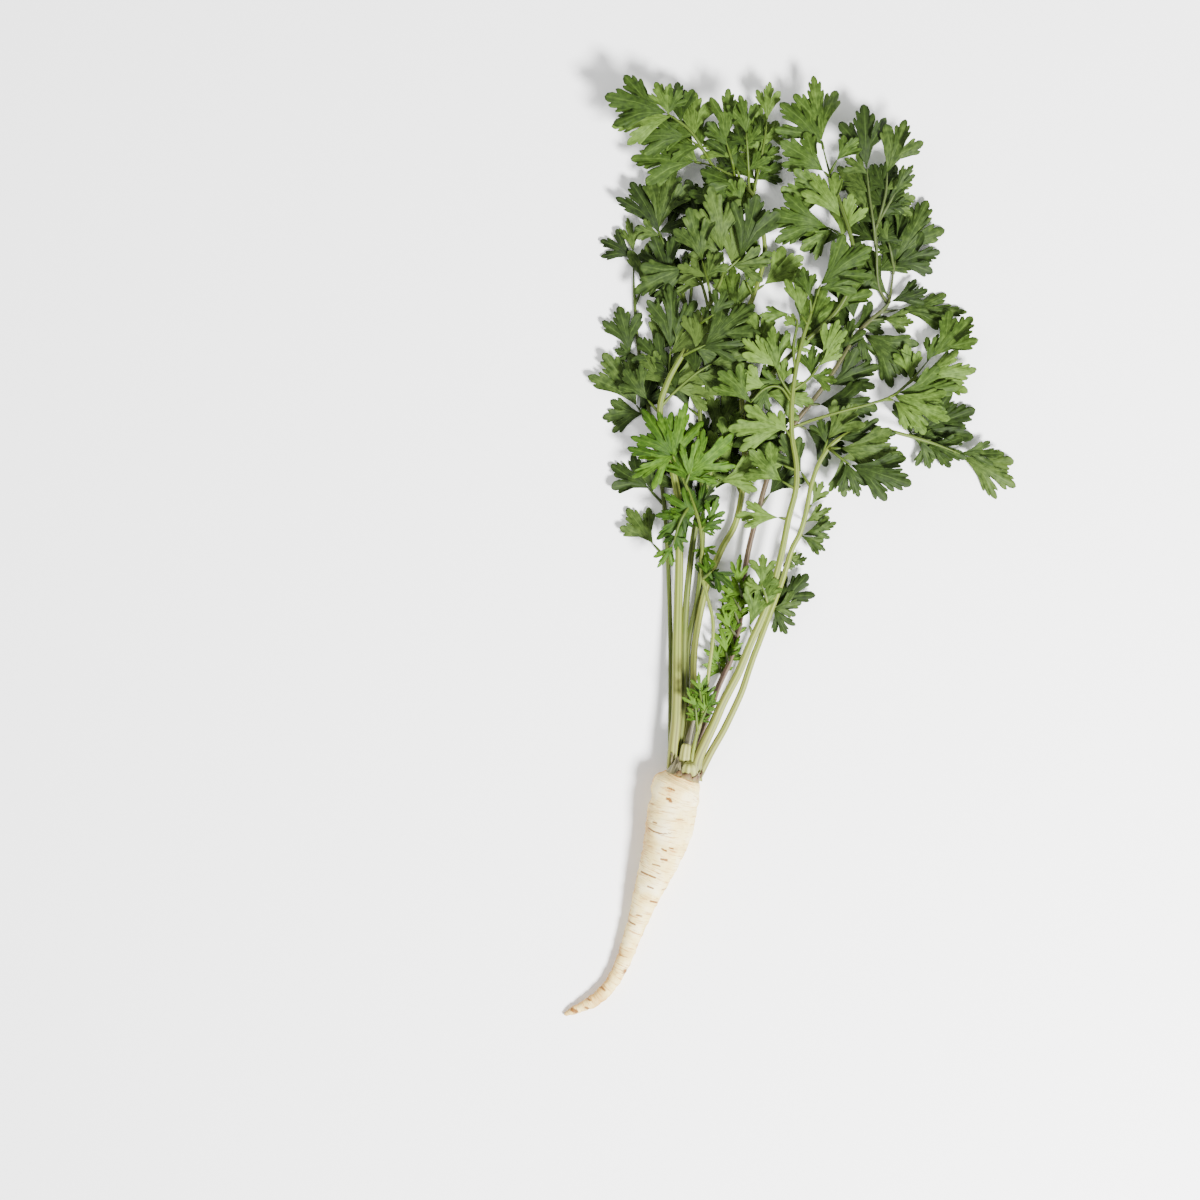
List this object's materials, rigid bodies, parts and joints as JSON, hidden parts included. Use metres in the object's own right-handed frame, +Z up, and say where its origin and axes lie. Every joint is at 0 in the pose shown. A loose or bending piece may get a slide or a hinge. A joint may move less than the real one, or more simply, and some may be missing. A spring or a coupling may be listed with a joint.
{
  "type": "parsley root",
  "caption": "Parsley root as picked: tapered pale taproot with bent tail, cut stalk stubs at the crown and fanned leaves with long stalks and toothed leaflets, lying flat.",
  "frame": {"origin": "on the surface that the plant lies on, below the middle of its bounding box", "axes": "+Y from the root's tip towards the leaves, along the length; +Z up from the surface; +X to the right as seen from above"},
  "size_m": [0.2965, 0.6069, 0.0425],
  "materials": {
    "root_skin": "matt, washed skin with fine cross marks",
    "stub_skin": "matt, ribbed",
    "withered_stalk": "matt, dry",
    "leaf_dark": "matt leaf with a faint sheen",
    "leaf_bright": "matt leaf with a faint sheen",
    "leaf_young": "matt leaf with a faint sheen"
  },
  "bodies": {
    "root": {"root": "root_skin", "cut_stalk_1": "stub_skin", "cut_stalk_2": "stub_skin", "broken_stalk": "withered_stalk", "leaf_1": "leaf_dark", "leaf_2": "leaf_dark", "leaf_3": "leaf_bright", "leaf_4": "leaf_dark", "leaf_5": "leaf_bright", "leaf_6": "leaf_young", "leaf_7": "leaf_young", "leaf_8": "leaf_dark", "leaf_9": "leaf_bright", "leaf_10": "leaf_dark"}
  },
  "joints": []
}
